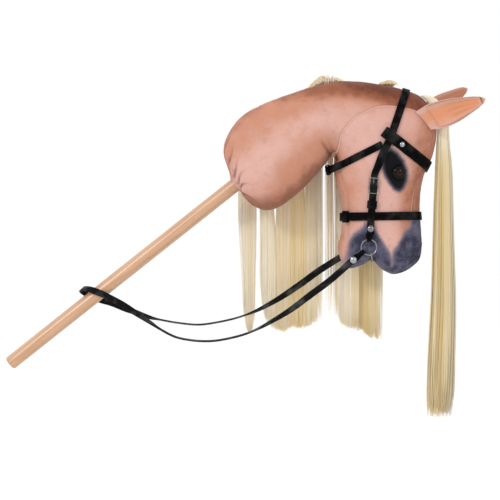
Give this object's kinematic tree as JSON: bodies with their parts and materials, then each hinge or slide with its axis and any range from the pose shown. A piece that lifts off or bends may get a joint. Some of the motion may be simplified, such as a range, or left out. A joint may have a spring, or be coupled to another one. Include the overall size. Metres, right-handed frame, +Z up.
{
  "type": "hobby horse",
  "caption": "Hobby horse: a stuffed fabric horse head and neck on a wooden stick, with a strap bridle, ringed bit, long reins, mane and forelock.",
  "frame": {"origin": "grip point on the stick's axis, a little behind the stuffed neck", "axes": "+X from the stick's lower end towards the nose, +Y towards the side that the mane falls on, +Z up, with the stick sloping as in the picture"},
  "size_m": [0.8573, 0.1443, 0.6155],
  "materials": {
    "beech": "clear varnish, satin",
    "coat_fabric": "short-pile chestnut cloth with a printed mottle",
    "stuffing": "matt fibre",
    "eye_plastic": "gloss",
    "washer_plastic": "matt",
    "hair": "long straight fibre, slight sheen",
    "strap_leather": "black artificial leather, slight sheen",
    "bright_steel": "bright plated"
  },
  "bodies": {
    "horse": {"stick": "beech", "neck_panel_near": "coat_fabric", "neck_panel_far": "coat_fabric", "cheek_panel_near": "coat_fabric", "cheek_panel_far": "coat_fabric", "front_gusset": "coat_fabric", "jaw_gusset": "coat_fabric", "filling": "stuffing", "eye_near": "eye_plastic", "eye_far": "eye_plastic", "eye_washer_near": "washer_plastic", "eye_washer_far": "washer_plastic", "ear_near": "coat_fabric", "ear_far": "coat_fabric", "ear_lining_near": "coat_fabric", "ear_lining_far": "coat_fabric", "mane_band": "hair", "mane_lock_withers": "hair", "mane_lock_neck_rear": "hair", "mane_lock_neck_front": "hair", "mane_lock_throat": "hair", "mane_lock_cheek": "hair", "forelock": "hair", "headpiece": "strap_leather", "cheekpiece_near": "strap_leather", "cheekpiece_far": "strap_leather", "browband": "strap_leather", "throatlatch": "strap_leather", "throatlatch_keeper": "strap_leather", "noseband": "strap_leather", "noseband_keeper": "strap_leather", "rein_end_near": "strap_leather", "rein_end_far": "strap_leather", "reins": "strap_leather", "buckle_near": "bright_steel", "buckle_far": "bright_steel", "browband_rivet_near": "bright_steel", "browband_rivet_far": "bright_steel", "cheek_rivet_near": "bright_steel", "cheek_rivet_far": "bright_steel", "rein_rivet_near": "bright_steel", "rein_rivet_far": "bright_steel", "bit_mouthpiece": "bright_steel"},
    "near_bit_ring": {"bit_ring_near": "bright_steel"},
    "far_bit_ring": {"bit_ring_far": "bright_steel"},
    "near_buckle_tongue": {"buckle_tongue_near": "bright_steel"},
    "far_buckle_tongue": {"buckle_tongue_far": "bright_steel"},
    "near_cheek_keeper": {"cheek_keeper_near": "strap_leather"},
    "far_cheek_keeper": {"cheek_keeper_far": "strap_leather"}
  },
  "joints": [
    {"name": "near_ring_turn", "type": "hinge", "parent": "horse", "child": "near_bit_ring", "pos_m": [0.374, -0.04859, -0.005], "axis": [0, 1, 0], "continuous": true},
    {"name": "far_ring_turn", "type": "hinge", "parent": "horse", "child": "far_bit_ring", "pos_m": [0.374, 0.04859, -0.005], "axis": [0, 1, 0], "continuous": true},
    {"name": "near_tongue_lift", "type": "hinge", "parent": "horse", "child": "near_buckle_tongue", "pos_m": [0.38228, -0.05365, 0.10468], "axis": [0.9807, -0.1735, -0.0906], "range_deg": [0, 65]},
    {"name": "far_tongue_lift", "type": "hinge", "parent": "horse", "child": "far_buckle_tongue", "pos_m": [0.38228, 0.05365, 0.10468], "axis": [-0.9807, -0.1735, 0.0906], "range_deg": [0, 65]},
    {"name": "near_keeper_slide", "type": "slide", "parent": "horse", "child": "near_cheek_keeper", "axis": [0.0766, -0.0854, 0.9934], "range_m": [-0.003, 0.005]},
    {"name": "far_keeper_slide", "type": "slide", "parent": "horse", "child": "far_cheek_keeper", "axis": [0.0766, 0.0854, 0.9934], "range_m": [-0.003, 0.005]}
  ]
}
